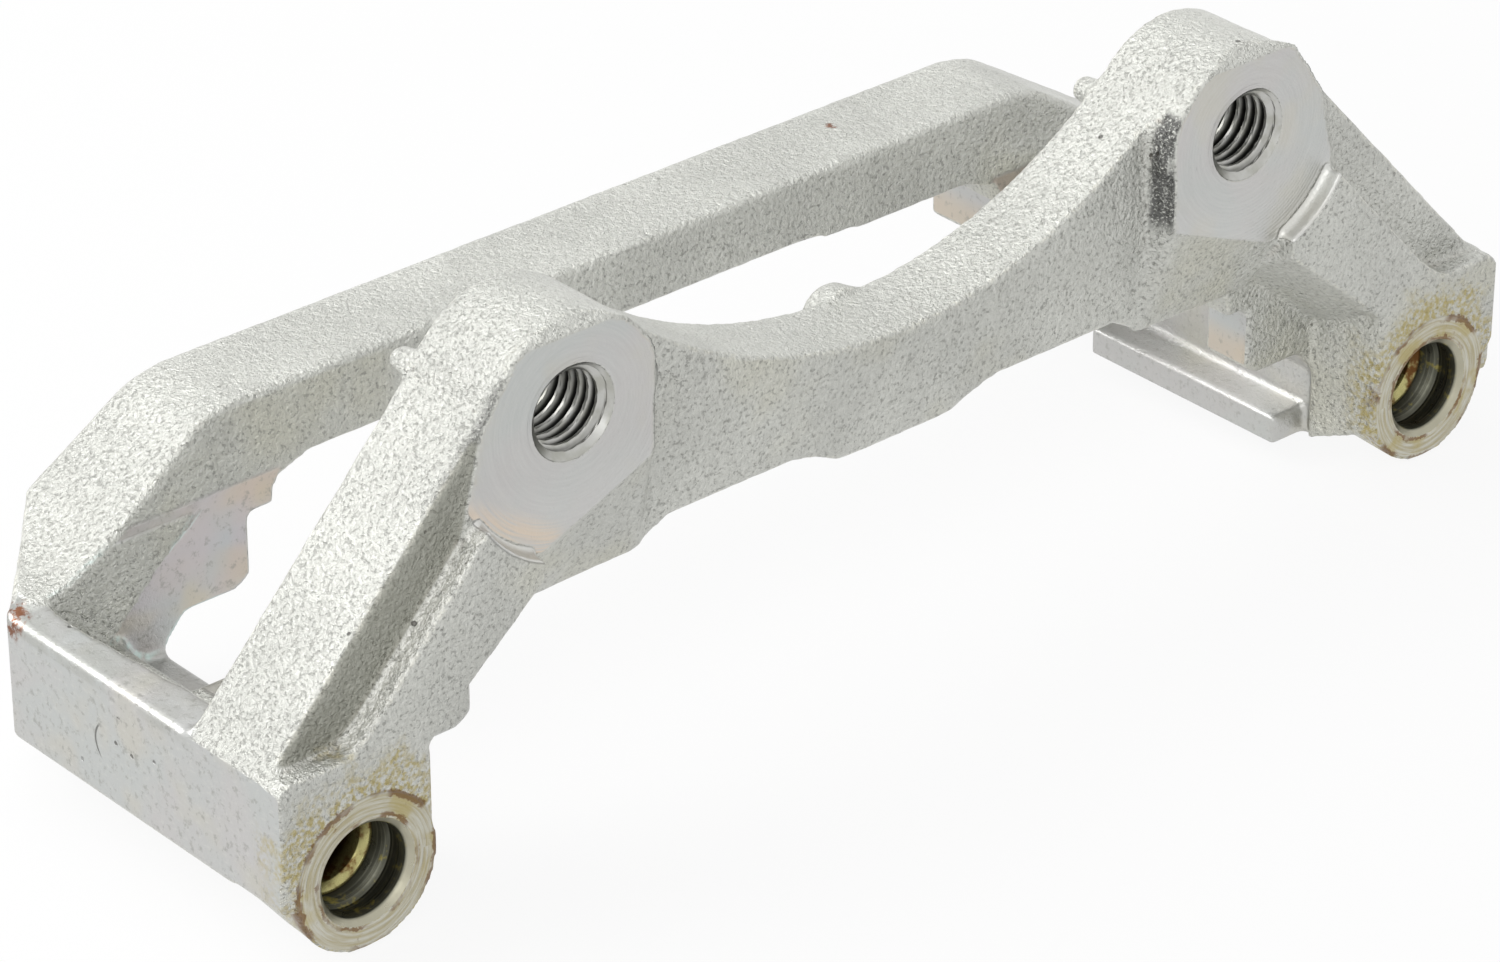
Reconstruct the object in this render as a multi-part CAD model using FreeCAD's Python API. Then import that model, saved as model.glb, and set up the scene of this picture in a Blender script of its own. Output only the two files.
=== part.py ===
import FreeCAD, Part
import math
import os

# Brake caliper bracket: one iron casting. Sizes are in mm.
# X runs along the bracket, Y from the mounting side to the far side, Z up.
# Inside this file the middle of the two guide pin mouths is the zero;
# the finished casting is moved so that its bounding box stands on z = 0.

# Guide pin bosses and their blind stepped bores
pin_x = 109.1
boss_r = 12.6
boss_r_back = 11.4
boss_flat_x = 97.2
boss_flat_back_x = 94.5
boss_block_w = 8.0
boss_block_foot_z = -4.5
boss_block_top_z = 16.4
boss_block_back_z = 11.5
pin_mouth_r = 8.5
pin_seat_r = 7.5
pin_seat_depth = 9.0
pin_groove_r = 8.1
pin_groove_y = 3.2
pin_groove_w = 2.2
pin_bore_r = 6.1
pin_bore_depth = 50.0
pin_tip = 3.5
pin_step = 0.8

# Mounting ears and their threaded holes (M14 x 2, cut at the minor size)
ear_x = 67.5
ear_z = 57.8
ear_face_y = 3.3
crown_r = 16.9
crown_x = 67.2
crown_z = 55.6
ear_inner_x = 52.3
ear_wall_run = 2.2
ear_shoulder_z = 64.2
ear_head_in_x = 57.0
ear_head_in_z = 69.6
ear_peak_z = 74.0
ear_head_out_x = 77.6
ear_head_out_z = 70.2
ear_side_x = 85.0
ear_side_z = 55.0
ear_tail_x = 88.0
ear_tail_z = 44.0
ear_foot_z = 34.0
ear_slope_in_z = 46.9
ear_slope_out_z = 36.6
ear_top_cut_z = 70.3
thread_minor_r = 5.92
thread_mouth_r = 7.5
spot_r = 21.3
spot_corner_r = 1.4
slope_x = 75.6

# Near plate
arm_face_y = 4.0
near_back_y = 22.0
tooth_face_y = 12.65
arm_inner_x = 53.0
arm_low_x = 69.0
arm_low_drop = 0.2
arm_head_x = 83.6
arm_head_z = 61.5
arm_foot_x = 121.6
arm_foot_z = 20.6
arm_slope_y = 0.5
arm_slope_in_z = 34.6
arm_slope_out_z = 16.5
arm_slope_drop = 6.0
band_top_x = 84.5
band_top_z = 48.0
band_bend_x = 106.8
band_bend_z = 23.4
band_end_x = 111.5
band_end_z = 19.8
band_corner = 1.4
band_foot_z = 4.0

# Curved bar between the ears
bar_reach = 1.0
bar_arc_r = 82.4
bar_mid_z = 46.2
crease_y = 7.2
crease_z = 46.2
bar_low_z = 26.6
bar_high_z = 30.2
bar_low_y = 9.0
bar_top_y = 8.4
bar_step_in = 2.5
bar_notch_in = 7.5
bar_notch_in_x = 20.5
bar_step_in_x = 17.0
bar_flat_out_x = 12.0
bar_flat_x = 8.5
bar_ease = 0.8
nub_r = 2.7
nub_draft = 0.6
nub_back_y = 26.6
nub_z = 62.0
nub_left_x = -80.6
nub_right_x = 53.9
bump_r = 6.0
bump_draft = 0.8
bump_back_y = 26.0
bump_z = 41.4

# Pad windows, the same outline on both sides of the disc
pad_half = 79.6
pad_top_z = 19.4
pad_foot_z = 8.9
pad_corner_in = 4.7
shoulder_in = 5.0
shoulder_z = 23.0
slot_top_z = 7.2
slot_x = 95.7
slot_near_in = 2.6
slot_far_in = 3.7
slot_end_z = 2.5
corner_small = 0.6
corner_tight = 1.3
corner_soft = 3.0

# Bridges over the edge of the disc
side_x = 124.0
strip_z = 19.0
strip_in_x = 117.6
strip_flare = 2.6
strip_floor_z = 9.0
side_corner = 0.8
side_foot_z = -1.5
rail_foot_z = -9.2
rail_out_x = 110.0
rail_bend_x = 117.5
rail_bend_z = -6.0
ledge_z = -4.1
lip_x = 88.5
lip_front_y = 14.5
lip_back_y = 57.0
wall_back_y = 47.0
guide_w = 8.3
rail_low_z = 1.0
rail_low_x = 101.5
rail_rise_x = 104.5
rail_rise_z = 6.6
floor_z = 8.4
floor_x = 110.0
nose_in_x = 110.0
nose_foot_z = -3.0
nose_y = 0.6

# Far beam
beam_top_z = 37.2
beam_low_z = 25.7
beam_mid_z = 27.0
beam_mid_x = 30.0
beam_bend_x = 45.0
beam_end_x = 67.0
beam_face_top_y = 68.5
beam_face_lean = 0.25
beam_head_x = 80.5
beam_drop_x = 86.5
beam_drop_z = 35.9
beam_foot_x = 107.0
beam_foot_z = 23.4
beam_toe_x = 114.0
beam_toe_z = 20.4
beam_bend_r = 9.0
beam_edge_r = 1.4
pad_face_y = 65.6
pocket_top_z = 26.2
pocket_head_x = 85.0
pocket_bend_x = 95.5
pocket_bend_z = 19.0
far_back_y = 87.0
far_cut_x = 104.8
side_back_y = 65.3

# Cutters and joins reach this far past what they cut or meet
over = 1.0
far = 40.0


def V(x, y, z):
    return FreeCAD.Vector(x, y, z)


def rounded(points, plane_y):
    """Closed wire in the XZ plane at plane_y from (x, z, corner radius) points."""
    n = len(points)
    edges = []
    starts, ends, mids = [], [], []
    for i in range(n):
        px, pz, r = points[i]
        ax, az, _ = points[i - 1]
        bx, bz, _ = points[(i + 1) % n]
        p = V(px, plane_y, pz)
        if r <= 0:
            starts.append(p)
            ends.append(p)
            mids.append(None)
            continue
        u = (V(ax, plane_y, az) - p).normalize()
        w = (V(bx, plane_y, bz) - p).normalize()
        half_turn = math.acos(max(-1.0, min(1.0, u.dot(w)))) / 2
        run = r / math.tan(half_turn)
        middle = (u + w).normalize()
        centre = p + middle * (r / math.sin(half_turn))
        starts.append(p + u * run)
        ends.append(p + w * run)
        mids.append(centre - middle * r)
    for i in range(n):
        if mids[i] is not None:
            edges.append(Part.Arc(starts[i], mids[i], ends[i]).toShape())
        a, b = ends[i], starts[(i + 1) % n]
        if (b - a).Length > 1e-6:
            edges.append(Part.makeLine(a, b))
    return Part.Wire(edges)


def prism(points, y0, y1):
    """Solid between two Y planes from an XZ outline."""
    return Part.Face(rounded(points, y0)).extrude(V(0, y1 - y0, 0))


def yz_prism(points, x0, x1):
    """Solid between two X planes from a YZ outline."""
    wire = Part.makePolygon([V(x0, y, z) for y, z in points + points[:1]])
    return Part.Face(wire).extrude(V(x1 - x0, 0, 0))


def xy_prism(points, z0, z1):
    """Solid between two Z planes from an XY outline."""
    wire = Part.makePolygon([V(x, y, z0) for x, y in points + points[:1]])
    return Part.Face(wire).extrude(V(0, 0, z1 - z0))


def ruled(first, second):
    """Straight sided solid between two closed polygons with as many points."""
    a = Part.makePolygon([V(*p) for p in first + first[:1]])
    b = Part.makePolygon([V(*p) for p in second + second[:1]])
    solid = Part.makeLoft([a, b], True, True)
    if solid.Volume < 0:
        solid.reverse()
    return solid


def round_bar(r0, r1, x, z, y0, y1):
    """Cylinder or cone along Y."""
    if abs(r0 - r1) < 1e-6:
        return Part.makeCylinder(r0, y1 - y0, V(x, y0, z), V(0, 1, 0))
    return Part.makeCone(r0, r1, y1 - y0, V(x, y0, z), V(0, 1, 0))


def join(shapes):
    return shapes[0].multiFuse(shapes[1:]).removeSplitter()


def soften(body, places, r):
    """Rounds the edge that lies nearest to each place."""
    picked = []
    for p in places:
        at = Part.Vertex(*p)
        edge = min(body.Edges, key=lambda e: e.distToShape(at)[0])
        if not any(edge.isSame(e) for e in picked):
            picked.append(edge)
    return body.makeFillet(r, picked)


def bar_top(x):
    """Height of the bar's hollow top, an arc about a point above it."""
    return bar_mid_z + bar_arc_r - math.sqrt(bar_arc_r ** 2 - x ** 2)


def window_side():
    """Side of a pad window, from its upper corner down to the end of the pad slot."""
    return [
        (pad_half - shoulder_in, shoulder_z, corner_soft),
        (pad_half - pad_corner_in, pad_top_z, corner_small), (pad_half, pad_top_z, 0),
        (pad_half, pad_foot_z, corner_tight), (pad_half + slot_near_in, slot_top_z, corner_tight),
        (slot_x - slot_far_in, slot_top_z, corner_soft), (slot_x, slot_end_z, corner_tight),
        (slot_x, 0, 0),
    ]


def arm_plate():
    """Arm of the near plate with the pad window in its lower edge, its front, and the ear's crown."""
    pts = [(arm_inner_x, bar_high_z, 0), (arm_inner_x, bar_low_z, 0),
           (arm_low_x, bar_low_z - arm_low_drop, corner_soft)]
    pts += window_side()
    pts += [
        (side_x, 0, 0), (side_x, strip_z, side_corner), (arm_foot_x, arm_foot_z, corner_soft),
        (arm_head_x, arm_head_z, corner_soft), (crown_x + crown_r * 0.82, ear_shoulder_z, 0),
        (arm_inner_x, ear_shoulder_z - over, 0),
    ]
    back = prism(pts, bar_low_y, near_back_y)
    front = prism(pts, arm_face_y, bar_low_y + over)
    front = front.cut(Part.makeBox(far * 2, far, far * 4, V(slope_x - far * 2, -over, -far)))
    crown = round_bar(crown_r, crown_r, crown_x, crown_z, arm_face_y, near_back_y)
    crown = crown.cut(Part.makeBox(far * 2, far * 2, far, V(crown_x - far, -far, crown_z - far)))
    return [back, front, crown]


def ear_front():
    """Ear's proud front: its drafted inner wall, its face and the slope under it."""
    back = bar_low_y + over
    top = ear_shoulder_z - over

    def section(x, face_y, slope_z, foot_y):
        share = max(0.0, (x - arm_inner_x) / (slope_x - arm_inner_x))
        low = bar_low_z - arm_low_drop * share
        return [(x, face_y, top), (x, face_y, slope_z), (x, foot_y, low), (x, back, low), (x, back, top)]

    wall_x = ear_inner_x - ear_wall_run
    inner = section(wall_x, crease_y, crease_z, bar_low_y)
    inner[0] = (wall_x, bar_top_y - arm_low_drop, top)
    middle = section(ear_inner_x, ear_face_y, ear_slope_in_z, bar_low_y - nose_y / 6)
    outer = section(slope_x, ear_face_y, ear_slope_out_z, bar_low_y - nose_y / 6)
    face = prism([
        (ear_inner_x, crown_z, 0), (ear_inner_x, ear_shoulder_z, corner_soft),
        (ear_head_in_x, ear_head_in_z, corner_soft), (crown_x, ear_peak_z, 0),
        (ear_head_out_x, ear_head_out_z, corner_soft), (arm_head_x, arm_head_z, corner_soft),
        (ear_side_x, ear_side_z, corner_soft), (ear_tail_x, ear_tail_z, 0),
        (slope_x + spot_corner_r, ear_slope_out_z, 0),
        (slope_x, ear_slope_out_z, 0), (slope_x - over, crown_z, 0),
    ], ear_face_y, arm_face_y + over)
    return [ruled(inner, middle), ruled(middle, outer), face]


def front_band():
    """Proud front face of the boss and the lower part of the arm."""
    pts = [
        (boss_flat_x, 0, 0), (boss_flat_x, boss_block_top_z, 0), (slope_x, arm_slope_in_z - far / 10, 0),
        (slope_x, band_top_z, 0), (band_top_x, band_top_z, 0), (band_bend_x, band_bend_z, corner_soft),
        (band_end_x, band_end_z, corner_soft), (side_x - band_corner, band_end_z, 0),
        (side_x, band_end_z - 2 * band_corner, band_corner), (side_x, band_foot_z, band_corner),
        (arm_foot_x, over, band_corner), (arm_foot_x, -over, 0), (pin_x, 0, 0),
    ]
    band = prism(pts, 0.0, arm_face_y + over)
    foot = [(boss_flat_x, 0, 0), (side_x, band_foot_z, 0), (side_x, strip_z - over, 0),
            (boss_flat_x, strip_z - over, 0)]
    return [band, prism(foot, 0.0, near_back_y)]


def boss():
    body = round_bar(boss_r, boss_r_back, pin_x, 0.0, 0.0, near_back_y)
    x0, x1, x2 = boss_flat_x, boss_flat_back_x, boss_flat_x + boss_block_w
    y = tooth_face_y
    a = [(x0, 0, boss_block_foot_z), (x2, 0, boss_block_foot_z),
         (x2, 0, boss_block_top_z), (x0, 0, boss_block_top_z)]
    b = [(x1, y, rail_foot_z), (x2, y, rail_foot_z),
         (x2, y, boss_block_back_z - over), (x1, y, boss_block_back_z)]
    return [body, ruled(a, b)]


def arm_slope():
    """Cutter that leans the lower front of the arm back toward the pad window."""
    def side(x, z0):
        y1, z1 = tooth_face_y, z0 - arm_slope_drop
        rise = arm_slope_drop / (y1 - arm_slope_y)
        return [(x, -far, z0 + rise * (arm_slope_y + far)), (x, y1, z1), (x, y1, -far), (x, -far, -far)]

    lean = ruled(side(slope_x, arm_slope_in_z), side(boss_flat_x, arm_slope_out_z))
    low = pad_top_z - over
    return lean.fuse(Part.makeBox(slope_x + over / 4 - arm_low_x, tooth_face_y + over,
                                  bar_low_z - arm_low_drop - low, V(arm_low_x, -over, low)))


def bar():
    """Curved bar between the ears, drawn whole, with its crease and stepped lower edge."""
    half = arm_inner_x + bar_reach
    step_x, notch_x = arm_inner_x - bar_step_in, arm_inner_x - bar_notch_in
    a = V(-half, crease_y, bar_top(half))
    m = V(0, crease_y, bar_top(0))
    b = V(half, crease_y, bar_top(half))
    low = [
        (half, bar_low_z), (step_x, bar_low_z + bar_ease), (notch_x, bar_high_z),
        (bar_notch_in_x, bar_high_z), (bar_step_in_x, bar_high_z - bar_ease),
        (bar_flat_out_x, bar_low_z + bar_ease / 2), (bar_flat_x, bar_low_z),
    ]
    right = [V(x, crease_y, z) for x, z in low]
    left = [V(-x, crease_y, z) for x, z in reversed(low)]
    edges = [Part.Arc(a, m, b).toShape()]
    chain = [b] + right + left + [a]
    for p, q in zip(chain, chain[1:]):
        edges.append(Part.makeLine(p, q))
    body = Part.Face(Part.Wire(edges)).extrude(V(0, near_back_y - crease_y, 0))
    rise = (bar_top_y - crease_y) / (ear_shoulder_z - crease_z)
    fall = (bar_low_y - crease_y) / (crease_z - bar_low_z)
    high, deep = crease_z + far, crease_z - far
    upper = [(crease_y, crease_z), (crease_y + rise * far, high), (-over, high), (-over, crease_z)]
    lower = [(crease_y, crease_z), (crease_y + fall * far, deep), (-over, deep), (-over, crease_z)]
    for cut in (upper, lower):
        body = body.cut(yz_prism(cut, -half - over, half + over))
    return body


def bridge():
    """Side bridge over the disc: outer wall, machined top strip, foot rail and its lip."""
    wall = [
        (side_x, strip_z, side_corner), (side_x, side_foot_z, corner_tight),
        (rail_bend_x, rail_bend_z, 2 * corner_soft),
        (rail_out_x, rail_foot_z, corner_soft), (slot_x, rail_foot_z, 0),
        (slot_x, rail_low_z, corner_small),
        (rail_low_x, rail_low_z + over, corner_soft), (rail_rise_x, rail_rise_z, corner_soft),
        (floor_x, floor_z, corner_soft),
        (strip_in_x - strip_flare, strip_floor_z, corner_soft), (strip_in_x, strip_z, 0),
    ]
    body = prism(wall, tooth_face_y, side_back_y - corner_small)
    front = [(side_x, strip_z, 0), (side_x, side_foot_z, corner_tight),
             (side_x - boss_block_w, nose_foot_z, 0),
             (nose_in_x, nose_foot_z, 0), (nose_in_x, strip_z, 0)]
    nose = prism(front, nose_y, near_back_y)
    guide = prism([(slot_x, rail_foot_z, 0), (slot_x, slot_top_z, 0), (slot_x + guide_w, slot_top_z, 0),
                   (slot_x + guide_w, rail_foot_z, 0)], tooth_face_y, wall_back_y)
    lip = prism([(lip_x, rail_foot_z, corner_small), (lip_x, ledge_z, corner_small),
                 (slot_x + over, ledge_z, 0),
                 (slot_x + over, rail_foot_z, 0)], lip_front_y, lip_back_y)
    x0, x1 = strip_in_x - strip_flare, strip_in_x + over
    y0, y1 = near_back_y - over, lip_back_y
    flare = ruled(
        [(x0, y0, strip_floor_z), (x1, y0, strip_floor_z), (x1, y0, strip_z), (x0, y0, strip_z)],
        [(strip_in_x - nose_y, y1, strip_floor_z), (x1, y1, strip_floor_z), (x1, y1, strip_z),
            (strip_in_x, y1, strip_z)])
    return [body, nose, guide, lip, flare]


def far_side():
    """Half of the far beam with its arm and pad window."""
    pts = [(-over / 2, beam_mid_z, 0), (beam_mid_x, beam_mid_z, beam_bend_r),
           (beam_bend_x, beam_low_z, beam_bend_r),
           (beam_end_x, beam_low_z, 2 * corner_soft)]
    pts += window_side()[:-1]
    pts += [
        (slot_x, rail_foot_z, 0), (rail_out_x, rail_foot_z, corner_soft),
        (rail_bend_x, rail_bend_z, 2 * corner_soft),
        (side_x, side_foot_z, corner_tight), (side_x, strip_z, 0), (beam_toe_x, beam_toe_z, beam_bend_r),
        (beam_foot_x, beam_foot_z, beam_bend_r), (beam_drop_x, beam_drop_z, beam_bend_r),
        (beam_head_x, beam_top_z, beam_bend_r), (-over / 2, beam_top_z, 0),
    ]
    body = prism(pts, pad_face_y - 2 * corner_soft, far_back_y)

    def face_y(z):
        return beam_face_top_y - beam_face_lean * (beam_top_z - z)

    high, deep = beam_top_z + over, rail_foot_z - over
    lean = [(face_y(high), high), (face_y(deep), deep), (over, deep), (over, high)]
    body = body.cut(yz_prism(lean, -over, side_x + over))
    places = [(beam_head_x / 2, y, beam_top_z) for y in (beam_face_top_y, far_back_y)]
    body = soften(body, places, beam_edge_r)
    deep = rail_foot_z - over
    pocket = [(slope_x - far, deep, 0), (slope_x - far, pocket_top_z, 0),
              (pocket_head_x, pocket_top_z, corner_soft),
              (pocket_bend_x, pocket_bend_z, 3 * corner_soft), (pin_x, strip_floor_z, corner_soft),
              (pin_x, deep, 0)]
    body = body.cut(prism(pocket, side_back_y - far / 2, pad_face_y))
    run = (far_back_y - side_back_y) / (side_x - far_cut_x)
    corner = xy_prism([(side_x + over, side_back_y - over * run),
                       (far_cut_x - over, far_back_y + over * run),
                       (side_x + far, far_back_y + far)], rail_foot_z - over, beam_top_z + over)
    return [body.cut(corner)]


def machine(body, sign):
    """Bores, threads' core holes and spot faces of one side."""
    x = sign * pin_x
    step = pin_seat_depth + pin_step
    cuts = [
        round_bar(pin_mouth_r + over, pin_seat_r, x, 0, -over, pin_mouth_r - pin_seat_r),
        round_bar(pin_seat_r, pin_seat_r, x, 0, -over, pin_seat_depth),
        round_bar(pin_groove_r, pin_groove_r, x, 0, pin_groove_y, pin_groove_y + pin_groove_w),
        round_bar(pin_seat_r, pin_bore_r, x, 0, pin_seat_depth, step),
        round_bar(pin_bore_r, pin_bore_r, x, 0, pin_seat_depth, pin_bore_depth),
        round_bar(pin_bore_r, 0.0, x, 0, pin_bore_depth, pin_bore_depth + pin_tip),
    ]
    x = sign * ear_x
    run = thread_mouth_r - thread_minor_r
    cuts += [
        round_bar(thread_minor_r, thread_minor_r, x, ear_z, -over, near_back_y + over),
        round_bar(thread_mouth_r, thread_minor_r, x, ear_z, ear_face_y, ear_face_y + run),
        round_bar(thread_minor_r, thread_mouth_r, x, ear_z, near_back_y - run, near_back_y),
    ]
    for c in cuts:
        body = body.cut(c)
    return body


def spot_face(body, sign):
    """Turned recess about the ear hole, with a round corner at its foot."""
    x = sign * ear_x
    r = spot_corner_r
    disc = round_bar(spot_r - r, spot_r - r, x, ear_z, -over, ear_face_y)
    upper = round_bar(spot_r, spot_r, x, ear_z, -over, ear_face_y - r)
    ring = Part.makeTorus(spot_r - r, r, V(x, ear_face_y - r, ear_z), V(0, 1, 0))
    return body.cut(join([disc, upper, ring]))


def ear_top_cut():
    """Cutter for the slanted top of the ear's front."""
    y, z = ear_face_y, ear_top_cut_z
    low = y + over
    return yz_prism([(-over, z - low), (y + crown_r, z + crown_r), (-over, z + crown_r)],
                    ear_inner_x - over, ear_tail_x)


def half():
    """Right half of the casting before the bar and the machining."""
    near = join(arm_plate() + ear_front() + front_band())
    near = near.cut(arm_slope()).cut(ear_top_cut())
    return join([near] + boss() + bridge() + far_side())


def casting():
    right = half()
    left = right.mirror(V(0, 0, 0), V(1, 0, 0))
    y = near_back_y - over
    bump = round_bar(bump_r, bump_r - bump_draft, 0, bump_z, y, bump_back_y)
    nubs = [round_bar(nub_r, nub_r - nub_draft, x, nub_z, y, nub_back_y)
            for x in (nub_left_x, nub_right_x)]
    body = join([right, left, bar(), bump] + nubs)
    for sign in (-1, 1):
        body = spot_face(body, sign)
        body = machine(body, sign)
    return body.removeSplitter()


def main():
    os.makedirs("parts", exist_ok=True)
    body = casting()
    solids = body.Solids
    print("solids", len(solids), "valid", body.isValid(), "volume", round(body.Volume))
    body = solids[0] if len(solids) == 1 else body
    body.translate(V(0, -far_back_y / 2, boss_r))
    body.exportStep("parts/caliper_bracket.step")


main()
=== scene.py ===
"""Brake caliper bracket: the looks of a zinc plated iron casting, as a Blender add-on file."""

import math
from types import SimpleNamespace

import bmesh
import bpy
import numpy as np
from bpy.props import FloatProperty, FloatVectorProperty, IntProperty, PointerProperty
from bpy.types import Operator, Panel, PropertyGroup
from mathutils import Matrix, Vector


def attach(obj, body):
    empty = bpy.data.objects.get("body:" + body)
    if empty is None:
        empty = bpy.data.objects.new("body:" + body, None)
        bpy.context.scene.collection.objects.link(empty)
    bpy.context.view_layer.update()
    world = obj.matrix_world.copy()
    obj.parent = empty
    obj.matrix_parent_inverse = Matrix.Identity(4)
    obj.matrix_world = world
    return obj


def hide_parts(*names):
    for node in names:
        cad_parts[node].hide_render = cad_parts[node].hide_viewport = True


bl_info = {
    "name": "Brake Caliper Bracket",
    "version": (1, 0, 0),
    "blender": (4, 5, 0),
    "location": "View3D > Sidebar > Bracket",
    "description": "Dresses the cast caliper bracket: soft cast skin, turned bores, threads and studio",
    "category": "Object",
}

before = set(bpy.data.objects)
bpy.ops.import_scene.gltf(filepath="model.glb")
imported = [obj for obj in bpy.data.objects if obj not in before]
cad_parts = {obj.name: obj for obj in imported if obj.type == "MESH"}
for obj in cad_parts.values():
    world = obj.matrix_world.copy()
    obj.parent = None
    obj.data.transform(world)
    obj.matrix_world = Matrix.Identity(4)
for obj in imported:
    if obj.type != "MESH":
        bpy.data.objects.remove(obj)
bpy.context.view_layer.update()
MM = 0.001
NODE = "caliper_bracket"

# Places in the bracket's own frame, in metres, as the solid has them
EAR_X, EAR_Z = 67.5 * MM, 70.4 * MM
PIN_X, PIN_Z = 109.1 * MM, 12.6 * MM
RING_Y = -43.5 * MM
EAR_Y = -40.2 * MM
BACK_Y = -21.5 * MM
OUTER_X, WINDOW_X = 124.0 * MM, 79.6 * MM
STRIP_Z, PAD_Y = 31.6 * MM, 22.1 * MM
EAR_FACE_R, RING_R = 21.2 * MM, 12.2 * MM
# Skin taken out about each pin bore: down to this depth, inside this radius
BORE_CLEAR = ((1.2 * MM, 9.0 * MM), (10.5 * MM, 8.3 * MM), (54.5 * MM, 6.9 * MM))
# Round outsides: axis X and Z, radius at the front and at the back, only above the axis
ROUNDS = ((PIN_X, PIN_Z, 12.6 * MM, 11.4 * MM, False), (67.2 * MM, 68.2 * MM, 16.9 * MM, 16.9 * MM, True))

# Ear thread, M14 x 2: pitch, core radius, flank height and the countersink's radius at the face
PITCH, CORE_R, FLANK, MOUTH_R = 2.0 * MM, 5.92 * MM, 1.083 * MM, 7.5 * MM
# Shares of the pitch, from a crest's middle to its edge and to the root's edge
CREST_EDGE, ROOT_EDGE = 0.0625, 0.375
THREAD_AROUND, THREAD_ALONG = 97, 188
# Guide pin bore, radius and depth in mm: chamfer, seat, ring groove, seat, step, bore and drill point
BORE_LINE = ((8.5, 0.05), (7.6, 0.95), (7.5, 1.1), (7.5, 3.1), (7.6, 3.2),
             (8.0, 3.35), (8.1, 3.6), (8.1, 5.0), (8.0, 5.25), (7.5, 5.4),
             (7.5, 8.9), (7.3, 9.1), (6.2, 9.7), (6.1, 9.9), (6.1, 50.0), (3.0, 51.8), (0.0, 53.5))
# The flat lips round the holes lie this far in front of the skin
RIM_PROUD = 0.015 * MM
# A machined face is known by its plane, to within this distance
FACE_BAND = 0.4 * MM
GRAIN_SIZE = 0.85 * MM
# Slow unevenness of the cast faces: mean depth, and the waves' lengths in mm
WAVE_DEPTH = 0.09 * MM
WAVE_LENGTHS = (11, 9, 7.5, 6, 5, 4.2, 3.5, 2.9)
# Middle height of the nick in the left bridge's outer face
NICK_Z = 20.7 * MM
# Rust patches: centre, radius and raggedness
RUST_BLOTS = (((-123.5 * MM, 22 * MM, 31.5 * MM), 4.5 * MM, 1.6),
              ((50 * MM, 36 * MM, 49.6 * MM), 1.2 * MM, 0.8))

# Colours that only some places have: the plating's own, and painted shade, painted highlights and a painted
# dark reflection
WARM_TINT = (1.0, 0.97, 0.84)
# Painted shade on the grain: on its lumps and in its pits
LUMP_SHADE, PIT_SHADE = (0.36, 0.36, 0.33), (0.22, 0.22, 0.20)
# Painted shade in a recess, and painted shade tinted brown in concave corners
RECESS_SHADE, HOLLOW_SHADE = (0.27, 0.27, 0.22), (0.44, 0.38, 0.32)
# Painted highlights on a band below the ears and on convex edges
BAND_HIGHLIGHT, EDGE_GLINT = (0.88, 0.88, 0.83), (0.84, 0.83, 0.74)
# The first is a painted dark reflection on the ears' walls
DARK_REFLECTION, PORE_BLACK = (0.05, 0.05, 0.05), (0.05, 0.045, 0.035)
SHEEN_ROSE, SHEEN_BLUE, SHEEN_STRAW = (0.57, 0.535, 0.56), (0.50, 0.55, 0.565), (0.60, 0.56, 0.46)
FLUSH_COPPER, BLUSH_COPPER = (0.66, 0.53, 0.38), (0.82, 0.62, 0.42)
STREAK_GREY, LOW_GREY, FOOT_WHITE = (0.66, 0.66, 0.64), (0.70, 0.71, 0.69), (0.80, 0.80, 0.76)
SCRATCH_GREY, STRIP_GREY, NICK_GREY = (0.66, 0.66, 0.62), (0.38, 0.38, 0.34), (0.12, 0.12, 0.11)
# The pale cyan is a painted highlight on the far pocket's edge
MOTTLE_GREY, LINE_HIGHLIGHT, RIM_YELLOW = (0.28, 0.28, 0.25), (0.62, 0.76, 0.73), (0.62, 0.50, 0.28)
RING_OLIVE, RING_GREY, CORNER_RUST = (0.45, 0.40, 0.25), (0.61, 0.60, 0.52), (0.20, 0.065, 0.02)
# The last two are painted shade, in the thread roots and deep in the ear holes
THREAD_MOTTLE, ROOT_SHADE, DEPTH_SHADE = (0.44, 0.44, 0.40), (0.02, 0.02, 0.018), (0.05, 0.05, 0.045)
SEAT_DARK, SEAT_GREY, SEAT_STAIN = (0.055, 0.055, 0.04), (0.20, 0.20, 0.155), (0.42, 0.36, 0.10)
# The last is painted shade, brown-black, deep in the pin bores
STEP_OLIVE, CHAMFER_GREY, BORE_SHADE = (0.50, 0.46, 0.20), (0.46, 0.44, 0.34), (0.05, 0.022, 0.008)

# Studio: lamps as name, place, size and watts, the light all round, and the camera of the photograph
LAMPS = (("key", (-0.75, 0.75, 0.85), 0.9, 10.5), ("top", (-0.1, 0.45, 1.3), 1.0, 4.0),
         ("fill", (-0.9, -0.6, 0.7), 0.8, 2.5))
LAMP_TARGET = (0, 0, 0.04)
SOFT_LIGHT, SEEN_WHITE = 0.45, 1.0
FLOOR_GLOW, FLOOR_SIZE = 0.9, 3.0
CAMERA_LENS, SENSOR_WIDTH = 143.97, 36.0
CAMERA_PLACE = (-0.5383, -0.6144, 0.4758)
CAMERA_RIGHT, CAMERA_AHEAD = (0.7516, -0.6596, 0.0), (0.5752, 0.6554, -0.4894)


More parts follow.
